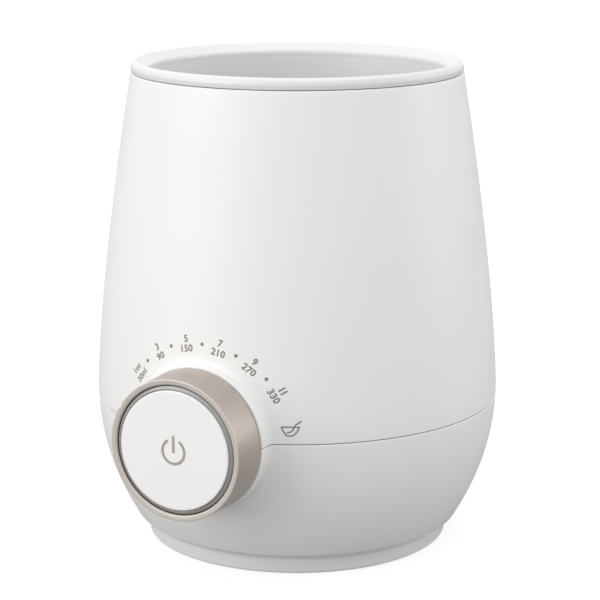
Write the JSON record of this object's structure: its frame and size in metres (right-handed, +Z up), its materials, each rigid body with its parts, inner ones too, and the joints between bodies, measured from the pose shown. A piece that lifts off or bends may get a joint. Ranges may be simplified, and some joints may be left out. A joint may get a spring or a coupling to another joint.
{
  "type": "bottle warmer",
  "caption": "Countertop baby bottle warmer: pear-shaped two-part housing, tapered water well open at the top, and a front turning dial with a push button in its centre.",
  "frame": {"origin": "centre of the foot on the surface that the warmer stands on, on the body axis", "axes": "+Z up along the body axis; the dial faces -Y; +X to the right as seen from the front"},
  "size_m": [0.141, 0.1571, 0.168],
  "materials": {
    "shell_white": "satin moulded plastic",
    "rim_white": "smooth satin",
    "well_grey": "satin moulded plastic",
    "dial_taupe": "satin metallic lacquer",
    "button_white": "satin",
    "light_guide_grey": "translucent",
    "steel": "zinc plated",
    "aluminium": "brushed",
    "rubber_grey": "matt",
    "silicone_red": "matt",
    "inner_plastic": "moulded",
    "natural_plastic": "moulded",
    "pcb_green": "solder mask",
    "component_black": "moulded",
    "component_blue": "moulded",
    "terminal_green": "moulded",
    "led_lens": "clear",
    "fuse_glass": "clear",
    "cable_grey": "matt"
  },
  "bodies": {
    "housing": {"upper_shell": "shell_white", "lower_shell": "shell_white", "base_cover": "shell_white", "foot_ring": "rubber_grey", "rim_ring": "rim_white", "water_chamber": "well_grey", "chamber_gasket": "silicone_red", "heater_plate": "aluminium", "heating_element": "steel", "heater_clamp": "steel", "heater_screws": "steel", "thermostat": "component_black", "thermal_fuse": "steel", "temperature_sensor": "steel", "heater_leads": "cable_grey", "dial_sleeve": "inner_plastic", "sleeve_screws": "steel", "detent_spring": "steel", "light_guide": "light_guide_grey", "rotary_encoder": "component_black", "tactile_switch": "component_black", "status_leds": "led_lens", "control_board": "pcb_green", "control_chip": "component_black", "control_board_screws": "steel", "ribbon_cable": "cable_grey", "power_board": "pcb_green", "relay": "component_blue", "mains_converter": "component_black", "capacitor": "component_blue", "terminal_block": "terminal_green", "board_fuse": "fuse_glass", "power_board_screws": "steel", "shell_screws": "steel", "base_screws": "steel", "cord_gland": "rubber_grey", "cord_clamp": "inner_plastic", "clamp_screws": "steel"},
    "dial": {"dial_ring": "dial_taupe", "dial_carrier": "inner_plastic"},
    "button": {"power_button": "button_white", "button_stem": "natural_plastic", "stem_clip": "steel", "button_spring": "steel"},
    "encoder": {"encoder_pinion": "natural_plastic", "encoder_shaft": "steel"}
  },
  "joints": [
    {"name": "dial_turn", "type": "hinge", "parent": "housing", "child": "dial", "pos_m": [0, -0.0726, 0.0509], "axis": [0, 1, 0], "range_deg": [0, 137]},
    {"name": "button_press", "type": "slide", "parent": "housing", "child": "button", "axis": [0, 1, 0], "range_m": [0, 0.001], "stiffness_N_per_m": 1500, "springref_m": -0.0008, "deforming": ["button_spring"]},
    {"name": "encoder_turn", "type": "hinge", "parent": "housing", "child": "encoder", "pos_m": [0, -0.058, 0.0779], "axis": [0, 1, 0], "range_deg": [-685, 0]}
  ],
  "couplings": [
    {"joint": "encoder_turn", "follows": "dial_turn", "ratio": -5}
  ]
}
